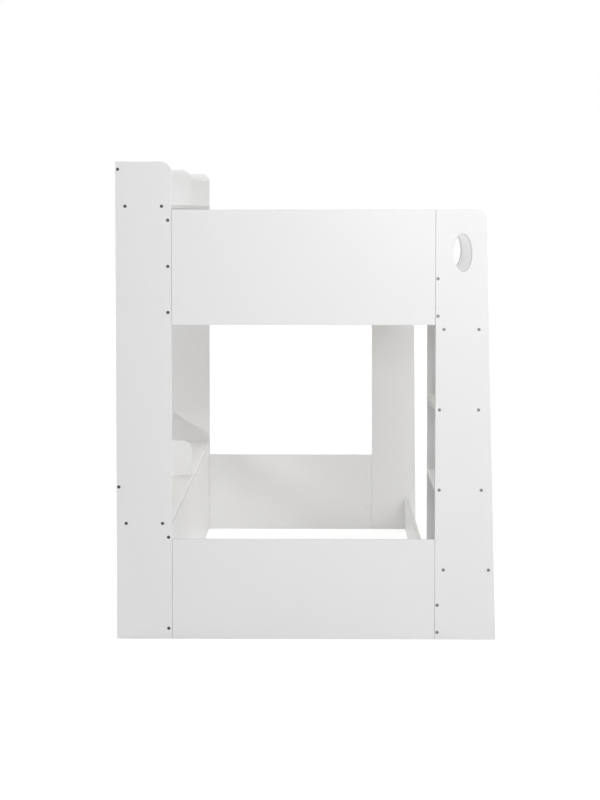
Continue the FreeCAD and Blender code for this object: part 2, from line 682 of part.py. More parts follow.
fasteners("plain_end_tall_screws", PANEL_SCREW,
          [(along("Y", -1), at_y(tall_screw_places, PLAIN_END_OUTSIDE))])

# Screws through the ladder panels and the leg into the steps and the front boards

step_places = []
for step, level, back, front in zip(steps, STEP_LEVELS, STEP_BACKS, STEP_FRONTS):
    places = [(f"{back} + step_screw_inset", level), (f"{front} - step_screw_inset", level)]
    step.screw_into("Y", LADDER_END_FACE, 1, places)
    step.screw_into("Y", LADDER_INNER_NEAR, -1, places)
    step_places += places
ENTRY_LEVELS = (f"{UPPER_RAIL_BOTTOM} + front_screw_inset", f"{ENTRY_RAIL_TOP} - front_screw_inset")
LOWER_FRONT_LEVELS = ("front_screw_inset", "lower_front_height - lower_front_screw_drop")
GUARD_LEVELS = (f"{ENTRY_RAIL_TOP} + rail_screw_bottom_inset", "guard_top - rail_screw_top_inset")
LEG_LEVELS = (f"{UPPER_RAIL_BOTTOM} + rail_screw_bottom_inset",) + GUARD_LEVELS
entry_places = [(FRONT_RAIL_MIDDLE, level) for level in ENTRY_LEVELS]
lower_front_places = [(FRONT_RAIL_MIDDLE, level) for level in LOWER_FRONT_LEVELS]
guard_places = [(FRONT_RAIL_MIDDLE, level) for level in GUARD_LEVELS]
leg_guard_places = [(FRONT_RAIL_MIDDLE, level) for level in LEG_LEVELS]
upper_front.screw_into("Y", LADDER_END_FACE, 1, entry_places)
upper_front.screw_into("Y", LADDER_INNER_FAR, 1, guard_places)
upper_front.screw_into("Y", PLAIN_END_FACE, -1, leg_guard_places)
lower_front.screw_into("Y", LADDER_END_FACE, 1, lower_front_places)
lower_front.screw_into("Y", PLAIN_END_FACE, -1, lower_front_places)
outer_places = step_places + entry_places + lower_front_places
ladder_outer.screw_through("Y", LADDER_END_OUTSIDE, 1, outer_places)
ladder_inner.screw_through("Y", LADDER_INNER_FAR, -1, step_places)
ladder_inner.screw_through("Y", LADDER_INNER_NEAR, 1, guard_places)
leg_places = leg_guard_places + lower_front_places
plain_end_leg.screw_through("Y", PLAIN_END_OUTSIDE, -1, leg_places)
fasteners("ladder_outer_screws", PANEL_SCREW, [(along("Y", 1), at_y(outer_places, LADDER_END_OUTSIDE))])
fasteners("ladder_inner_screws", PANEL_SCREW, [(along("Y", -1), at_y(step_places, LADDER_INNER_FAR))])
fasteners("guard_end_screws", PANEL_SCREW, [(along("Y", 1), at_y(guard_places, LADDER_INNER_NEAR))])
fasteners("plain_end_leg_screws", PANEL_SCREW, [(along("Y", -1), at_y(leg_places, PLAIN_END_OUTSIDE))])

# Screws through the front boards, from the mattress side, into the notched edge of the inner ladder panel

NOTCH_EDGE = f"{FRONT_SEAM} + {NOTCH}"
upper_tie_places = [(LADDER_INNER_MIDDLE, f"{LEDGER_TOP} + front_screw_inset"),
                    (LADDER_INNER_MIDDLE, f"{ENTRY_RAIL_TOP} - front_screw_inset")]
lower_tie_places = [(LADDER_INNER_MIDDLE, level) for level in LOWER_FRONT_LEVELS]
for board, places in ((upper_front, upper_tie_places), (lower_front, lower_tie_places)):
    board.screw_through("X", FRONT_SEAM, 1, places)
    ladder_inner.screw_into("X", NOTCH_EDGE, 1, places)
tie_places = [(FRONT_SEAM, y, z) for y, z in upper_tie_places + lower_tie_places]
fasteners("ladder_rail_screws", PANEL_SCREW, [(along("X", 1), tie_places)])

# Cam locks and dowels that hold the end boards flush between the panels beside them

CAM_BORE = "cam_diameter + 2 * screw_clearance"
CAM_BORE_DEPTH = "cam_depth + screw_clearance"
BOLT_DEPTH = "cam_bolt_grip + bore_end_gap"
DOWEL_DEPTH = "dowel_length / 2 + bore_end_gap"
CAM_BOLT_BORE = "cam_bolt_diameter + 2 * screw_clearance"
DOWEL_BORE = "dowel_diameter + 2 * screw_clearance"


def flush_joint(board, panel, seam, towards, middle, bottom, height):
    """Bores one seam for its cams, bolts and dowels; towards points from the seam into the board."""
    cam_levels = [f"{bottom} + {share} * {height}" for share in cam_place_shares]
    bolt_bores = [(middle, level) for level in cam_levels]
    dowel_bores = [(middle, f"{bottom} + {share} * {height}") for share in dowel_place_shares]
    board.bore("X", seam, towards, bolt_bores, "cam_bore_diameter", "cam_setback")
    panel.bore("X", seam, -towards, bolt_bores, CAM_BOLT_BORE, BOLT_DEPTH)
    for piece, way in ((board, towards), (panel, -towards)):
        piece.bore("X", seam, way, dowel_bores, DOWEL_BORE, DOWEL_DEPTH)
    cam_places = [(f"{seam} + {towards} * cam_setback", level) for level in cam_levels]
    bolt_places = [(f"{seam} - {towards} * cam_bolt_grip", y, z) for y, z in bolt_bores]
    return cam_places, bolt_places, [(seam, y, z) for y, z in dowel_bores]


ENDS = [
    # Board, panels at its back and front edges, front seam, inner face, middle, way into the inner face
    (ladder_end_upper, ladder_end_tall, ladder_outer, FRONT_SEAM, LADDER_END_FACE, LADDER_END_MIDDLE, -1),
    (ladder_end_lower, ladder_end_tall, ladder_outer, FRONT_SEAM, LADDER_END_FACE, LADDER_END_MIDDLE, -1),
    (plain_end_upper, plain_end_tall, plain_end_leg, LEG_EDGE, PLAIN_END_FACE, PLAIN_END_MIDDLE, 1),
    (plain_end_lower, plain_end_tall, plain_end_leg, LEG_EDGE, PLAIN_END_FACE, PLAIN_END_MIDDLE, 1),
]
cam_rows, bolt_rows, dowel_rows = [], [], []
for board, back_panel, front_panel, front_seam, face, middle, inwards in ENDS:
    is_upper = board in (ladder_end_upper, plain_end_upper)
    bottom = UPPER_BOARD_BOTTOM if is_upper else "0"
    height = "upper_board_height" if is_upper else "lower_board_height"
    for panel, seam, towards in ((back_panel, BACK_SEAM, 1), (front_panel, front_seam, -1)):
        cams, bolts, pegs = flush_joint(board, panel, seam, towards, middle, bottom, height)
        board.bore("Y", face, inwards, cams, CAM_BORE, CAM_BORE_DEPTH)
        lock_turn = FreeCAD.Rotation(AXES["X"] * -towards, FreeCAD.Vector(), AXES["Y"] * inwards, "ZXY")
        cam_rows.append((lock_turn, at_y(cams, face)))
        bolt_rows.append((along("X", towards), bolts))
        dowel_rows.append((along("X", 1), pegs))
fasteners("end_board_cams", CAM, cam_rows)
fasteners("cam_cover_caps", COVER_CAP, cam_rows)
fasteners("end_board_cam_bolts", CAM_BOLT, bolt_rows)
fasteners("end_board_dowels", DOWEL, dowel_rows)

# Screws that hold the shelf backs and dividers, from under the shelf and from behind

back_screw_rows, divider_screw_rows = [], []
for tier, (underside, top) in SHELF_LEVELS.items():
    places = [(SHELF_BACK_X, f"{LADDER_END_FACE} + {share} * inner_length")
              for share in back_screw_place_shares]
    shelves[tier].screw_through("Z", underside, 1, places)
    shelf_backs[tier].screw_into("Z", top, 1, places)
    back_screw_rows.append((along("Z", 1), [(x, y, underside) for x, y in places]))

    places = [(f"{BACK_FACE} + board_thickness + {share} * {DIVIDER_DEPTH}", "0")
              for share in divider_screw_place_shares]
    shelves[tier].screw_through("Z", underside, 1, places)
    dividers[tier].screw_into("Z", top, 1, places)
    divider_screw_rows.append((along("Z", 1), [(x, y, underside) for x, y in places]))

    places = [("0", f"{top} + {divider_back_screw_share} * shelf_wall_height")]
    shelf_backs[tier].screw_through("X", BACK_FACE, 1, places)
    dividers[tier].screw_into("X", f"{BACK_FACE} + board_thickness", 1, places)
    divider_screw_rows.append((along("X", 1), [(BACK_FACE, y, z) for y, z in places]))
fasteners("shelf_back_screws", PANEL_SCREW, back_screw_rows)
fasteners("shelf_divider_screws", PANEL_SCREW, divider_screw_rows)

# Wood screws of the slatted base: ledgers to rails, slats to ledgers

WOOD_SCREW_BORE = "wood_screw_shank_diameter + 2 * screw_clearance"
WOOD_SCREW_SUNK = "wood_screw_head_diameter + 2 * screw_clearance"
RAIL_GRIP = "wood_screw_length - ledger_thickness + bore_end_gap"
LEDGER_GRIP = "wood_screw_length - slat_thickness + bore_end_gap"
SLAT_MIDDLES = [f"({start} + slat_width / 2)" for start in SLAT_STARTS]
LEDGER_MIDDLE = f"{UPPER_RAIL_BOTTOM} + ledger_height / 2"
ledger_screw_places = [(f"{SLAT_MIDDLES[index]} + {SLAT_PITCH} / 2", LEDGER_MIDDLE)
                       for index in ledger_screw_gap_indexes]
ledger_screw_rows, slat_screw_rows = [], []
for ledger, rail, face, towards in ((back_ledger, back_rails["upper"], BACK_RAIL_FACE, -1),
                                    (front_ledger, upper_front, FRONT_SEAM, 1)):
    head_face = f"({face} - {towards} * ledger_thickness)"
    ledger.bore("X", head_face, towards, ledger_screw_places, WOOD_SCREW_BORE, sunk_diameter=WOOD_SCREW_SUNK)
    rail.bore("X", face, towards, ledger_screw_places, WOOD_SCREW_BORE, RAIL_GRIP)
    ledger_screw_rows.append((along("X", towards), [(head_face, y, z) for y, z in ledger_screw_places]))

    ledger_middle = f"({face} - {towards} * ledger_thickness / 2)"
    places = [(ledger_middle, middle) for middle in SLAT_MIDDLES]
    ledger.bore("Z", LEDGER_TOP, -1, places, WOOD_SCREW_BORE, LEDGER_GRIP)
    for slat, place in zip(slats, places):
        slat.bore("Z", SLAT_TOP, -1, [place], WOOD_SCREW_BORE, sunk_diameter=WOOD_SCREW_SUNK)
    slat_screw_rows.append((along("Z", -1), [(x, y, SLAT_TOP) for x, y in places]))
fasteners("ledger_screws", WOOD_SCREW, ledger_screw_rows)
fasteners("slat_screws", WOOD_SCREW, slat_screw_rows)

# Every feature has to be sound, and every piece a valid solid, before anything is written

doc.recompute()
for thing in doc.Objects:
    if "Invalid" in thing.State or "Error" in thing.State:
        raise RuntimeError(f"{thing.Label} failed: {thing.State}")
for name, (thing, solids) in nodes.items():
    shape = thing.Shape
    if shape.isNull() or not shape.isValid() or len(shape.Solids) != solids:
        raise RuntimeError(f"{name} is not {solids} valid solid(s)")

os.makedirs("parts", exist_ok=True)
for name, (thing, _) in nodes.items():
    thing.Shape.exportStep(f"parts/{name}.step")
print(f"{len(nodes)} nodes written")
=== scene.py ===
# %% [markdown]
# A white bunk bed made of flat boards, with shelves along the wall side and a fixed ladder at one end.
# The construction comes in as finished solids that are already in their places, in metres. This lesson
# gives every board, slat and screw its finish, swaps the plain cover caps for moulded ones, and sets up
# the studio that the bed stands in. Nothing below moves or resizes a board: what the solids measure is
# what the bed measures.

# %% Load the frame
import json
import math

import bpy
import numpy as np
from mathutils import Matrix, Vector


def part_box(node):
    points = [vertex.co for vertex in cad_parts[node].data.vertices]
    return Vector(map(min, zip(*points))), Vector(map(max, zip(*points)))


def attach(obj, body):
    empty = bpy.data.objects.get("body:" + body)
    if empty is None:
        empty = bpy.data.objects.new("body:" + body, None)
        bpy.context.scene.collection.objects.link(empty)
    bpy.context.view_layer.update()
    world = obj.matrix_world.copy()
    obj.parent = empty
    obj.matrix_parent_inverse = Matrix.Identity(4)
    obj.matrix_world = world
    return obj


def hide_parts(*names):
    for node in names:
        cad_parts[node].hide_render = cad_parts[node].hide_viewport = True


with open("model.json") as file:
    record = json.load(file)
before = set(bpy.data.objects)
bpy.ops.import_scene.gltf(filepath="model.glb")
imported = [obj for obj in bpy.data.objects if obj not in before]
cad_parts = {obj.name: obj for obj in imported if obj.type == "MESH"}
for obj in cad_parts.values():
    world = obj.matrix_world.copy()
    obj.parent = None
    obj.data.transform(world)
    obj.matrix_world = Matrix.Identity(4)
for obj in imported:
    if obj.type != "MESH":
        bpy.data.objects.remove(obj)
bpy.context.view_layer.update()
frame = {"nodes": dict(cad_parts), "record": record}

print("pieces in the frame:", len(frame["nodes"]))

# %% [markdown]
# The camera comes first, because every later choice is judged through it. The bed was taken from the
# ladder end, from about shoulder height, with a long lens: the two ends differ little in size, and the
# upright edges stay nearly parallel. A camera that tilts down to reach the feet of the bed would make those
# edges lean, so it tilts only a little and the lens shift does the rest, as on a view camera.

# %% Camera
CAMERA_PLACE = (0.0440, -6.5087, 1.4900)
CAMERA_TILT_DOWN = math.radians(2.128)
CAMERA_TURN_LEFT = math.radians(0.669)
LENS_MM = 72.46
LENS_SHIFT_DOWN_SHARE = 0.1634

camera_lens = bpy.data.cameras.new("photo_view")
camera_lens.lens = LENS_MM
camera_lens.shift_y = -LENS_SHIFT_DOWN_SHARE
camera = bpy.data.objects.new("photo_view", camera_lens)
camera.location = CAMERA_PLACE
camera.rotation_euler = (math.pi / 2 - CAMERA_TILT_DOWN, 0, CAMERA_TURN_LEFT)
bpy.context.collection.objects.link(camera)
bpy.context.scene.camera = camera

# %% [markdown]
# All finishes are built from nodes, so a few small helpers serve the whole lesson. Colours are written as the
# hex values that a paint chart gives and turned into the linear light that a renderer adds up. Patterns are
# written in millimetres and turned into the scale that a texture node wants, repeats per metre. One function
# adds a node with its settings and links, and one starts an empty finish.

# %% Colour, scale and node helpers
MM = 0.001
WHITE_HEX = "#FFFFFF"
SRGB_FULL = 255
SRGB_STRAIGHT_END = 0.04045
SRGB_STRAIGHT_SLOPE = 12.92
SRGB_OFFSET = 0.055
SRGB_POWER = 2.4


def linear(hex_colour):
    """Linear RGBA of an sRGB hex value: a straight start, then the standard's power curve."""
    coded = np.array(list(bytes.fromhex(hex_colour[1:]))) / SRGB_FULL
    curved = ((coded + SRGB_OFFSET) / (1 + SRGB_OFFSET)) ** SRGB_POWER
    return (*np.where(coded <= SRGB_STRAIGHT_END, coded / SRGB_STRAIGHT_SLOPE, curved), 1.0)


def per_metre(size_mm):
    """Scale of a texture whose pattern repeats about once in that many millimetres."""
    return 1 / (size_mm * MM)


def add(tree, kind, settings=None, links=None):
    """Adds one node. Settings are properties or input values, links are inputs and what feeds them."""
    node = tree.nodes.new(kind)
    for name, setting in (settings or {}).items():
        if isinstance(name, str) and hasattr(node, name):
            setattr(node, name, setting)
        else:
            node.inputs[name].default_value = setting
    for name, source in (links or {}).items():
        tree.links.new(source, node.inputs[name])
    return node


# Sockets of a Mix node by number, because its three kinds share their names
MIX_SHARE = 0
MIX_FIRST_NUMBER, MIX_SECOND_NUMBER = 2, 3
MIX_FIRST_COLOUR, MIX_SECOND_COLOUR = 6, 7
MIXED_COLOUR = 2


def new_finish(name):
    """An empty finish under a maker's name, with the shader that its nodes feed."""
    finish = bpy.data.materials.new(name)
    finish.use_nodes = True
    return finish, finish.node_tree, finish.node_tree.nodes["Principled BSDF"]


print("white, linear:", [float(part) for part in linear(WHITE_HEX)])

# %% [markdown]
# The boards are MDF with a satin white lacquer. A spray gun lays the lacquer down, and it dries with a faint
# orange peel a few millimetres wide. To the eye that gives a clean white with broad, soft highlights and no
# mirror image. The sawn edges drink more of the lacquer than the pressed faces, so they end up a shade greyer
# and duller, and their fibres stand up a little. One could paint such a map by hand; here the surface's own
# direction says where a board's edges are, so each board only needs to know which way its thickness runs.

# %% Satin white lacquer
LACQUER_HEX = "#F0F0F0"
LACQUER_LATER_COAT_HEX = "#EDEDED"
EDGE_HEX = "#E4E4E4"
LACQUER_DRIFT_MM = 420
LACQUER_DRIFT_DETAIL = 3
ORANGE_PEEL_MM = 5
ORANGE_PEEL_DETAIL = 1
ORANGE_PEEL_DEPTH_MM = 0.03
# Coarser than the real fibres, which are too fine to show
EDGE_FIBRE_MM = 1.6
EDGE_FIBRE_DETAIL = 2
EDGE_FIBRE_DEPTH_MM = 0.05
FACE_ROUGHNESS = (0.36, 0.46)
EDGE_ROUGHNESS = 0.6
LACQUER_IOR = 1.5
# How squarely a spot looks along the thickness: all face above the first, all edge below the second
FACE_AND_EDGE_FLATNESS = (0.9, 0.4)


def satin_white_lacquer(axis):
    """Lacquered MDF whose thickness runs along one axis: face and edge finish, mixed by surface direction."""
    finish, tree, shader = new_finish(f"satin_white_lacquer_on_mdf_{axis.lower()}")
    place = add(tree, "ShaderNodeTexCoord")
    thickness = [1.0 if name == axis else 0.0 for name in "XYZ"]
    facing = add(tree, "ShaderNodeVectorMath", {"operation": "DOT_PRODUCT", 1: thickness},
                 {0: place.outputs["Normal"]})
    flatness = add(tree, "ShaderNodeMath", {"operation": "ABSOLUTE"}, {0: facing.outputs["Value"]})
    edge = add(tree, "ShaderNodeMapRange", {"From Min": FACE_AND_EDGE_FLATNESS[0],
                                            "From Max": FACE_AND_EDGE_FLATNESS[1]},
               {"Value": flatness.outputs["Value"]})
    drift = add(tree, "ShaderNodeTexNoise",
                {"Scale": per_metre(LACQUER_DRIFT_MM), "Detail": LACQUER_DRIFT_DETAIL},
                {"Vector": place.outputs["Object"]})
    coat = add(tree, "ShaderNodeMix", {"data_type": "RGBA", MIX_FIRST_COLOUR: linear(LACQUER_HEX),
                                       MIX_SECOND_COLOUR: linear(LACQUER_LATER_COAT_HEX)},
               {MIX_SHARE: drift.outputs["Fac"]})
    colour = add(tree, "ShaderNodeMix", {"data_type": "RGBA", MIX_SECOND_COLOUR: linear(EDGE_HEX)},
                 {MIX_SHARE: edge.outputs["Result"],
                  MIX_FIRST_COLOUR: coat.outputs[MIXED_COLOUR]})
    sheen = add(tree, "ShaderNodeMapRange", {"To Min": FACE_ROUGHNESS[0], "To Max": FACE_ROUGHNESS[1]},
                {"Value": drift.outputs["Fac"]})
    roughness = add(tree, "ShaderNodeMix", {"data_type": "FLOAT", MIX_SECOND_NUMBER: EDGE_ROUGHNESS},
                    {MIX_SHARE: edge.outputs["Result"], MIX_FIRST_NUMBER: sheen.outputs["Result"]})
    peel = add(tree, "ShaderNodeTexNoise",
               {"Scale": per_metre(ORANGE_PEEL_MM), "Detail": ORANGE_PEEL_DETAIL},
               {"Vector": place.outputs["Object"]})
    peel_bump = add(tree, "ShaderNodeBump", {"Distance": ORANGE_PEEL_DEPTH_MM * MM},
                    {"Height": peel.outputs["Fac"]})
    fibre = add(tree, "ShaderNodeTexNoise",
                {"Scale": per_metre(EDGE_FIBRE_MM), "Detail": EDGE_FIBRE_DETAIL},
                {"Vector": place.outputs["Object"]})
    fibre_bump = add(tree, "ShaderNodeBump", {"Distance": EDGE_FIBRE_DEPTH_MM * MM},
                     {"Height": fibre.outputs["Fac"], "Strength": edge.outputs["Result"],
                      "Normal": peel_bump.outputs["Normal"]})
    shader.inputs["IOR"].default_value = LACQUER_IOR
    tree.links.new(colour.outputs[MIXED_COLOUR], shader.inputs["Base Color"])
    tree.links.new(roughness.outputs["Result"], shader.inputs["Roughness"])
    tree.links.new(fibre_bump.outputs["Normal"], shader.inputs["Normal"])
    return finish


lacquers = [satin_white_lacquer(axis) for axis in "XYZ"]
print("lacquer finishes:", [finish.name for finish in lacquers])

# %% [markdown]
# The slats and the ledgers under them are planed pine, left bare because a mattress covers them. To the eye
# that is a pale, matt wood: cream early wood with thin amber lines of late wood, a few millimetres apart,
# that run the length of the board and meet a brown knot now and then. A ring pattern cut from a whole trunk
# would be one way; bands across the board, bent by a noise that is drawn out along the grain, look the same
# on pieces this narrow.

# %% Planed pine
EARLY_WOOD_HEX = "#EFE6D5"
LATE_WOOD_HEX = "#DCC8A6"
KNOT_HEX = "#987450"
RING_SPACING_MM = 9
RING_SWING = 9.0
RING_SWING_MM = 40
LATE_WOOD_THINNESS = 2.2
# A wave texture of scale 1 runs through this many radians in a metre
WAVE_RADIANS = 20
# Coarser than the real wood fibres, which are too fine to show
FIBRE_MM = 1.2
FIBRE_DETAIL = 2
KNOT_SPACING_MM = 420
KNOT_REACH_MM = 9
GRAIN_DRAWN_OUT_SHARE = 0.07
PINE_ROUGHNESS = (0.52, 0.68)
PINE_FIBRE_DEPTH_MM = 0.08


def planed_pine(name, grain_turn):
    """Bare pine with its grain along X, turned about Z for boards that run the other way."""
    finish, tree, shader = new_finish(name)
    place = add(tree, "ShaderNodeTexCoord")
    turned = add(tree, "ShaderNodeMapping", {"Rotation": (0, 0, grain_turn)},
                 {"Vector": place.outputs["Object"]})
    knots = add(tree, "ShaderNodeTexVoronoi", {"Scale": per_metre(KNOT_SPACING_MM)},
                {"Vector": turned.outputs["Vector"]})
    knot = add(tree, "ShaderNodeMapRange", {"From Min": 2 * KNOT_REACH_MM / KNOT_SPACING_MM,
                                            "From Max": KNOT_REACH_MM / KNOT_SPACING_MM},
               {"Value": knots.outputs["Distance"]})
    along = add(tree, "ShaderNodeMapping", {"Scale": (GRAIN_DRAWN_OUT_SHARE, 1, 1)},
                {"Vector": turned.outputs["Vector"]})
    ring_scale = per_metre(RING_SPACING_MM) * 2 * math.pi / WAVE_RADIANS
    rings = add(tree, "ShaderNodeTexWave",
                {"bands_direction": "Y", "Scale": ring_scale, "Distortion": RING_SWING,
                 "Detail Scale": per_metre(RING_SWING_MM) / ring_scale},
                {"Vector": along.outputs["Vector"]})
    late = add(tree, "ShaderNodeMath", {"operation": "POWER", 1: LATE_WOOD_THINNESS},
               {0: rings.outputs["Fac"]})
    wood = add(tree, "ShaderNodeMix", {"data_type": "RGBA", MIX_FIRST_COLOUR: linear(EARLY_WOOD_HEX),
                                       MIX_SECOND_COLOUR: linear(LATE_WOOD_HEX)},
               {MIX_SHARE: late.outputs["Value"]})
    colour = add(tree, "ShaderNodeMix", {"data_type": "RGBA", MIX_SECOND_COLOUR: linear(KNOT_HEX)},
                 {MIX_SHARE: knot.outputs["Result"],
                  MIX_FIRST_COLOUR: wood.outputs[MIXED_COLOUR]})
    fibre = add(tree, "ShaderNodeTexNoise", {"Scale": per_metre(FIBRE_MM), "Detail": FIBRE_DETAIL},
                {"Vector": along.outputs["Vector"]})
    roughness = add(tree, "ShaderNodeMapRange", {"To Min": PINE_ROUGHNESS[0], "To Max": PINE_ROUGHNESS[1]},
                    {"Value": fibre.outputs["Fac"]})
    bump = add(tree, "ShaderNodeBump", {"Distance": PINE_FIBRE_DEPTH_MM * MM},
               {"Height": fibre.outputs["Fac"]})
    tree.links.new(colour.outputs[MIXED_COLOUR], shader.inputs["Base Color"])
    tree.links.new(roughness.outputs["Result"], shader.inputs["Roughness"])
    tree.links.new(bump.outputs["Normal"], shader.inputs["Normal"])
    return finish


slat_pine = planed_pine("planed_pine_across_the_bed", 0)
ledger_pine = planed_pine("planed_pine_along_the_bed", math.pi / 2)
print("pine finishes:", slat_pine.name, "and", ledger_pine.name)

# %% [markdown]
# Two metals hold the bed together. The board screws are steel with a matt black oxide skin: under bright
# light each head is a soft grey dot on the white panel, and only its socket stays dark. The screws of the
# ladder get the same oxide in a paler colour, a painted highlight for the brighter light that they catch.
# The cams, their bolts and the small screws of the slats are zinc plated, a pale bluish metal whose bath
# leaves soft cloudy patches. Both are plain metals with a little noise in how rough they are, because a
# perfectly even metal looks like plastic.

# %% Black oxide and zinc plate
OXIDE_HEX = "#616264"
OXIDE_CLOUD_HEX = "#4F5052"
# The ladder's screws: the same oxide painted paler, a painted highlight for the brighter light they catch
LADDER_SCREW_HIGHLIGHT_HEX = "#8C8D8F"
LADDER_SCREW_HIGHLIGHT_CLOUD_HEX = "#78797B"
OXIDE_ROUGHNESS = (0.5, 0.66)
ZINC_HEX = "#B4B8BC"
ZINC_CLOUD_HEX = "#9FA4A9"
ZINC_ROUGHNESS = (0.25, 0.42)
# Coarser than the real grit, so that it shows on heads 12 mm wide
METAL_GRIT_MM = 1.5
ZINC_CLOUD_MM = 4
CLOUD_DETAIL = 2


def metal(name, light_hex, dark_hex, cloud_mm, roughness_range):
    """A metal skin: two close tones in clouds of one size, and a fine noise in its roughness."""
    finish, tree, shader = new_finish(name)
    place = add(tree, "ShaderNodeTexCoord")
    cloud = add(tree, "ShaderNodeTexNoise", {"Scale": per_metre(cloud_mm), "Detail": CLOUD_DETAIL},
                {"Vector": place.outputs["Object"]})
    colour = add(tree, "ShaderNodeMix", {"data_type": "RGBA", MIX_FIRST_COLOUR: linear(light_hex),
                                         MIX_SECOND_COLOUR: linear(dark_hex)},
                 {MIX_SHARE: cloud.outputs["Fac"]})
    grit = add(tree, "ShaderNodeTexNoise", {"Scale": per_metre(METAL_GRIT_MM)},
               {"Vector": place.outputs["Object"]})
    roughness = add(tree, "ShaderNodeMapRange", {"To Min": roughness_range[0], "To Max": roughness_range[1]},
                    {"Value": grit.outputs["Fac"]})
    shader.inputs["Metallic"].default_value = 1.0
    tree.links.new(colour.outputs[MIXED_COLOUR], shader.inputs["Base Color"])
    tree.links.new(roughness.outputs["Result"], shader.inputs["Roughness"])
    return finish


black_oxide = metal("black_oxide_steel", OXIDE_HEX, OXIDE_CLOUD_HEX, METAL_GRIT_MM, OXIDE_ROUGHNESS)
# Paler oxide for the ladder's screws: a painted highlight
oxide_with_painted_highlight = metal("black_oxide_with_painted_highlight", LADDER_SCREW_HIGHLIGHT_HEX, LADDER_SCREW_HIGHLIGHT_CLOUD_HEX, METAL_GRIT_MM, OXIDE_ROUGHNESS)
zinc_plate = metal("zinc_plated_steel", ZINC_HEX, ZINC_CLOUD_HEX, ZINC_CLOUD_MM, ZINC_ROUGHNESS)
print("metal finishes:", [finish.name for finish in (black_oxide, oxide_with_painted_highlight, zinc_plate)])

# %% [markdown]
# The dowels are beech, a close brown wood with short dark flecks, and the cover caps are white moulded
# polypropylene, a little duller than the lacquer, with the fine texture of the mould. Both are small and
# mostly hidden, so one speckled pattern with its own colours and size serves each of them.

# %% Beech and moulded polypropylene
BEECH_HEX = "#CFA878"
BEECH_FLECK_HEX = "#B58955"
CAP_HEX = "#EFEFEF"
CAP_SHADE_HEX = "#E9E9E9"
BEECH_FLECK_MM = 2
SPECKLE_DETAIL = 2
BEECH_ROUGHNESS = 0.6
CAP_ROUGHNESS = 0.45
# Coarser than the real mould texture, so that it shows on caps 18 mm wide
MOULD_TEXTURE_MM = 0.8
SPECKLE_DEPTH_MM = 0.03


def speckled(name, light_hex, dark_hex, speck_mm, roughness_value):
    """A close-grained surface: two tones in specks of one size that also stand up a little."""
    finish, tree, shader = new_finish(name)
    place = add(tree, "ShaderNodeTexCoord")
    speck = add(tree, "ShaderNodeTexNoise", {"Scale": per_metre(speck_mm), "Detail": SPECKLE_DETAIL},
                {"Vector": place.outputs["Object"]})
    colour = add(tree, "ShaderNodeMix", {"data_type": "RGBA", MIX_FIRST_COLOUR: linear(light_hex),
                                         MIX_SECOND_COLOUR: linear(dark_hex)},
                 {MIX_SHARE: speck.outputs["Fac"]})
    bump = add(tree, "ShaderNodeBump", {"Distance": SPECKLE_DEPTH_MM * MM}, {"Height": speck.outputs["Fac"]})
    shader.inputs["Roughness"].default_value = roughness_value
    tree.links.new(colour.outputs[MIXED_COLOUR], shader.inputs["Base Color"])
    tree.links.new(bump.outputs["Normal"], shader.inputs["Normal"])
    return finish


beech = speckled("turned_beech", BEECH_HEX, BEECH_FLECK_HEX, BEECH_FLECK_MM, BEECH_ROUGHNESS)
moulded_cap = speckled("moulded_white_polypropylene", CAP_HEX, CAP_SHADE_HEX, MOULD_TEXTURE_MM, CAP_ROUGHNESS)
print("small finishes:", beech.name, "and", moulded_cap.name)

# %% [markdown]
# The record says which material each piece is made of, so the finishes are handed out by that list instead of
# piece by piece, apart from the screws of the ladder, whose paler oxide is a painted highlight. A board's
# thickness runs along the shortest side of its box, and a pine board's grain along its longest.

# %% Finish every piece of the frame
SLOT_FINISHES = {
    "dark_steel": black_oxide,
    "zinc_steel": zinc_plate,
    "beech": beech,
    "white_plastic": moulded_cap,
}
LADDER_SCREWS = ("ladder_outer_screws", "ladder_inner_screws", "ladder_rail_screws")


def finish_of(node, slot):
    """The finish for a piece: by its slot, by how its box lies where the finish has a direction, and by its
    name for the screws of the ladder, which get the oxide painted paler as a painted highlight."""
    low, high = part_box(node)
    sides = np.subtract(high, low)
    if slot == "white_board":
        return lacquers[int(np.argmin(sides))]
    if slot == "pine":
        return (slat_pine, ledger_pine)[int(np.argmax(sides))]
    # The ladder's screws get the paler oxide, a painted highlight
    return oxide_with_painted_highlight if node in LADDER_SCREWS else SLOT_FINISHES[slot]


for entry in frame["record"]["subparts"]:
    node, slot = entry["node"], entry["material_slot"]
    for material_slot in frame["nodes"][node].material_slots:
        material_slot.material = finish_of(node, slot)

# %% [markdown]
# The cams in the end boards hide under push-on caps. A moulded cap isn't a flat disc: its crown swells a
# little and rolls over at the rim, so that it has no edge to catch a sheet on, and a short stem behind it
# plugs into the cam. The shape is a turned one, so it is worked out as a profile carried once round an axis.
# A cap on the far end is the same cap after half a turn, which keeps its faces looking outwards.

# %% Moulded cover caps
CAP_RADIUS = 9 * MM
CAP_HEIGHT = 1.2 * MM
CAP_ROLL = 0.9 * MM
CAP_CROWN_SHARE = 0.3
STEM_RADIUS = 2.05 * MM
STEM_LENGTH = 3 * MM
CAM_SETBACK = 24 * MM
CAM_LEVEL_SHARES = (0.3, 0.7)
CAP_TURN_STEPS = 40
CAP_CROWN_STEPS = 6
CAP_ROLL_STEPS = 6
CAP_SHARP_ANGLE = math.radians(40)


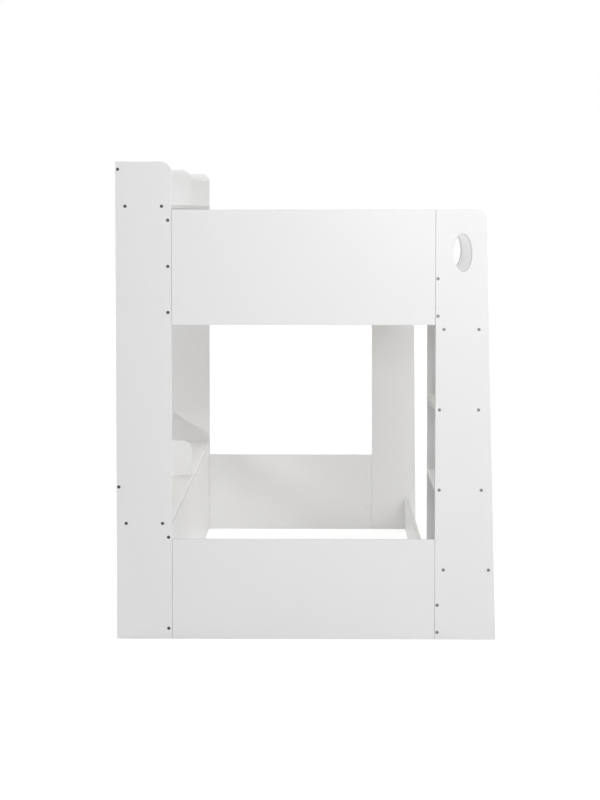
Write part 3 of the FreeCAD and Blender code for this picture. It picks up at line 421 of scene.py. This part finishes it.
def cap_profile():
    """Radius and height from pole to pole: a crown that falls with the square of the radius, a rim that rolls
    over in a quarter of an ellipse down to the board, then straight in to the stem and back along it."""
    flat_radius = CAP_RADIUS - CAP_ROLL
    crown_radius = np.linspace(0, flat_radius, CAP_CROWN_STEPS)
    crown_fall = CAP_CROWN_SHARE * CAP_HEIGHT * (crown_radius / flat_radius) ** 2
    roll = np.linspace(0, math.pi / 2, CAP_ROLL_STEPS + 1)[1:]
    rim_height = (1 - CAP_CROWN_SHARE) * CAP_HEIGHT
    stem_radius = [STEM_RADIUS, STEM_RADIUS, 0]
    stem_height = [0, -STEM_LENGTH, -STEM_LENGTH]
    radius = np.concatenate([crown_radius, flat_radius + CAP_ROLL * np.sin(roll), stem_radius])
    height = np.concatenate([CAP_HEIGHT - crown_fall, rim_height * np.cos(roll), stem_height])
    return radius, height


def turned_points(radius, height):
    """Points of a turned shape: the profile's radius goes round X and Z by cosine and sine, its height out
    along Y. The profile's two ends lie on the axis, so each is a single pole, before and after the rings."""
    turn = np.linspace(0, 2 * math.pi, CAP_TURN_STEPS, endpoint=False)[:, None]
    out = np.broadcast_to(height[1:-1], (CAP_TURN_STEPS, len(height) - 2))
    rings = np.stack([radius[1:-1] * np.cos(turn), out, radius[1:-1] * np.sin(turn)], axis=-1)
    poles = [[[0, end, 0]] for end in (height[0], height[-1])]
    return np.concatenate([poles[0], rings.reshape(-1, 3), poles[1]])


def turned_faces(profile_count):
    """Faces of that shape by point number: four-sided between the rings, three-sided at the poles."""
    rings = 1 + np.arange(CAP_TURN_STEPS * (profile_count - 2)).reshape(CAP_TURN_STEPS, -1)
    onward = np.roll(rings, -1, axis=0)
    sides = np.stack([rings[:, :-1], onward[:, :-1], onward[:, 1:], rings[:, 1:]], axis=-1).reshape(-1, 4)
    first = np.zeros(CAP_TURN_STEPS, int)
    last = np.full(CAP_TURN_STEPS, rings.max() + 1)
    crown = np.stack([first, onward[:, 0], rings[:, 0]], axis=-1)
    foot = np.stack([last, rings[:, -1], onward[:, -1]], axis=-1)
    return sides, np.concatenate([crown, foot])


def cap_places():
    """Where the caps sit and which way they look: on the inner face of each end board, beside its seams with
    the tall panel and with the panel at the front."""
    places = []
    for end, front_panel, out in (("ladder_end", "ladder_outer_panel", 1),
                                  ("plain_end", "plain_end_leg_panel", -1)):
        back_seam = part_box(f"{end}_tall_panel")[1].x
        front_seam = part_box(front_panel)[0].x
        for tier in ("upper", "lower"):
            low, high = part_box(f"{end}_{tier}_board")
            face = high.y if out > 0 else low.y
            for x in (back_seam + CAM_SETBACK, front_seam - CAM_SETBACK):
                for share in CAM_LEVEL_SHARES:
                    places.append((x, face, low.z + share * (high.z - low.z), out))
    return np.array(places)


def cover_caps(places):
    """One mesh with all caps: the turned shape, half a turn about Z where a cap looks back, then moved."""
    radius, height = cap_profile()
    shape = turned_points(radius, height)
    out = places[:, 3]
    half_turns = np.stack([out, out, np.ones(len(places))], axis=-1)
    points = shape * half_turns[:, None] + places[:, None, :3]
    first_points = len(shape) * np.arange(len(places))[:, None, None]
    faces = []
    for kind in turned_faces(len(radius)):
        faces += (kind + first_points).reshape(-1, kind.shape[1]).tolist()
    mesh = bpy.data.meshes.new("moulded_cover_caps")
    mesh.from_pydata(points.reshape(-1, 3), [], faces)
    mesh.shade_smooth()
    mesh.set_sharp_from_angle(angle=CAP_SHARP_ANGLE)
    return mesh


places = cap_places()
caps_mesh = cover_caps(places)
caps = bpy.data.objects.new("moulded_cover_caps", caps_mesh)
bpy.context.collection.objects.link(caps)
caps_mesh.materials.append(moulded_cap)
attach(caps, "root")
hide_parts("cam_cover_caps")
print("cover caps:", len(places), "with faces:", len(caps_mesh.polygons))

# %% [markdown]
# The bed was photographed on white. The floor here is a pale sheet that catches the bed's shadow for every
# ray that carries light, while the camera, and anything glossy, also sees its own even white, so that it runs
# into the background with no horizon. That keeps the white out of the lamps, which would bleach the boards.

# %% White floor and background
FLOOR_HALF_SIZE = 30
FLOOR_HEX = "#E6E6E6"
FLOOR_SEEN_HEX = "#B3B3B3"
# The floor's own white, and the metres from the bed's middle between which it grows to its full strength
FLOOR_GLOW = (0.70, 1.0)
FLOOR_GLOW_REACH = (2.0, 8.0)
ROOM_LIGHT = 0.14


def seen_directly(tree):
    """One for rays from the camera, off gloss or through glass, zero for rays that carry light."""
    path = add(tree, "ShaderNodeLightPath")
    glossy = add(tree, "ShaderNodeMath", {"operation": "MAXIMUM"},
                 {0: path.outputs["Is Camera Ray"], 1: path.outputs["Is Glossy Ray"]})
    return add(tree, "ShaderNodeMath", {"operation": "MAXIMUM"},
               {0: glossy.outputs["Value"], 1: path.outputs["Is Transmission Ray"]})


def white_floor():
    """A flat sheet at the bed's feet, with a shader that adds its own white for rays that see it."""
    half = FLOOR_HALF_SIZE
    mesh = bpy.data.meshes.new("studio_floor")
    corners = [(-half, -half, 0), (half, -half, 0), (half, half, 0), (-half, half, 0)]
    mesh.from_pydata(corners, [], [(0, 1, 2, 3)])
    finish, tree, shader = new_finish("white_studio_floor")
    seen = seen_directly(tree)
    colour = add(tree, "ShaderNodeMix", {"data_type": "RGBA", MIX_FIRST_COLOUR: linear(FLOOR_HEX),
                                         MIX_SECOND_COLOUR: linear(FLOOR_SEEN_HEX)},
                 {MIX_SHARE: seen.outputs["Value"]})
    place = add(tree, "ShaderNodeTexCoord")
    distance = add(tree, "ShaderNodeVectorMath", {"operation": "LENGTH"}, {0: place.outputs["Object"]})
    white = add(tree, "ShaderNodeMapRange", {"From Min": FLOOR_GLOW_REACH[0], "From Max": FLOOR_GLOW_REACH[1],
                                             "To Min": FLOOR_GLOW[0], "To Max": FLOOR_GLOW[1]},
                {"Value": distance.outputs["Value"]})
    glow = add(tree, "ShaderNodeMath", {"operation": "MULTIPLY"},
               {0: seen.outputs["Value"], 1: white.outputs["Result"]})
    shader.inputs["Roughness"].default_value = 1.0
    shader.inputs["Specular IOR Level"].default_value = 0.0
    shader.inputs["Emission Color"].default_value = linear(WHITE_HEX)
    tree.links.new(colour.outputs[MIXED_COLOUR], shader.inputs["Base Color"])
    tree.links.new(glow.outputs["Value"], shader.inputs["Emission Strength"])
    mesh.materials.append(finish)
    floor = bpy.data.objects.new("studio_floor", mesh)
    bpy.context.collection.objects.link(floor)
    return floor


def white_room():
    """The world: white to look at, and an even light of its own strength for the bed."""
    world = bpy.data.worlds.new("white_room")
    world.use_nodes = True
    bpy.context.scene.world = world
    tree = world.node_tree
    seen = seen_directly(tree)
    strength = add(tree, "ShaderNodeMapRange", {"To Min": ROOM_LIGHT, "To Max": 1.0},
                   {"Value": seen.outputs["Value"]})
    background = tree.nodes["Background"]
    background.inputs["Color"].default_value = linear(WHITE_HEX)
    tree.links.new(strength.outputs["Result"], background.inputs["Strength"])
    return world


floor = white_floor()
room = white_room()
print("floor and background:", floor.name, "and", room.name)

# %% [markdown]
# The light is soft, as in a white studio, and every softbox has its task. Three stand in front, one above the
# other and a little towards the ladder: they light the near end, and it fades from its upper right corner to
# the floor. On the wall side a small one throws the shelf back's shadow on the far panel, a steep one reaches
# down to the lower shelf, and a broad one at the rear fills the shadows. Two on the open side reach under the
# upper bunk, and the last two light the tops and the plain end. White boards clip easily, so all of them are
# weak, and the room adds little.

# %% Softboxes
SOFTBOXES = {
    # Name: place, aim, width and height in metres, then watts
    "front_high": ((1.2, -5.5, 3.2), (0.0, 0.0, 0.8), 2.4, 1.8, 62),
    "front_middle": ((0.9, -5.0, 2.6), (0.0, 0.0, 0.7), 1.6, 1.0, 46),
    "front_low": ((0.9, -5.5, 1.65), (0.0, 0.0, 0.7), 1.6, 0.9, 27),
    "wall_side_small": ((-2.8, -0.6, 1.89), (-0.5, 0.95, 0.8), 0.5, 0.5, 29),
    "wall_side_steep": ((-1.8, 1.3, 3.0), (-0.55, 0.0, 0.45), 1.0, 1.0, 19),
    "wall_side_rear": ((-3.0, 2.6, 2.4), (-0.2, 0.0, 0.8), 2.0, 2.0, 18),
    "open_side_low": ((3.4, 0.4, 0.9), (0.0, 0.4, 0.6), 2.0, 1.4, 33),
    "open_side_front": ((3.2, -1.6, 2.6), (0.0, 0.6, 0.6), 1.4, 1.4, 29),
    "overhead": ((0.0, 0.0, 4.5), (0.0, 0.0, 0.0), 3.0, 3.0, 20),
    "plain_end": ((0.2, 5.6, 2.8), (0.0, 0.0, 0.8), 2.4, 2.0, 60),
}


def softbox(name, place, aim, width, height, watts):
    """A rectangular lamp at a place, turned to look at its aim."""
    lamp = bpy.data.lights.new(name, "AREA")
    lamp.shape = "RECTANGLE"
    lamp.size = width
    lamp.size_y = height
    lamp.energy = watts
    box = bpy.data.objects.new(name, lamp)
    box.location = place
    box.rotation_euler = (Vector(aim) - Vector(place)).to_track_quat("-Z", "Y").to_euler()
    bpy.context.collection.objects.link(box)
    return box


softboxes = [softbox(name, *settings) for name, settings in SOFTBOXES.items()]
print("softboxes:", [box.name for box in softboxes])

# %% [markdown]
# Last, the colours are shown as they are written. Nothing here is fabric that could stand proud of its
# solids.

# %% Colour view
bpy.context.scene.view_settings.view_transform = "Standard"
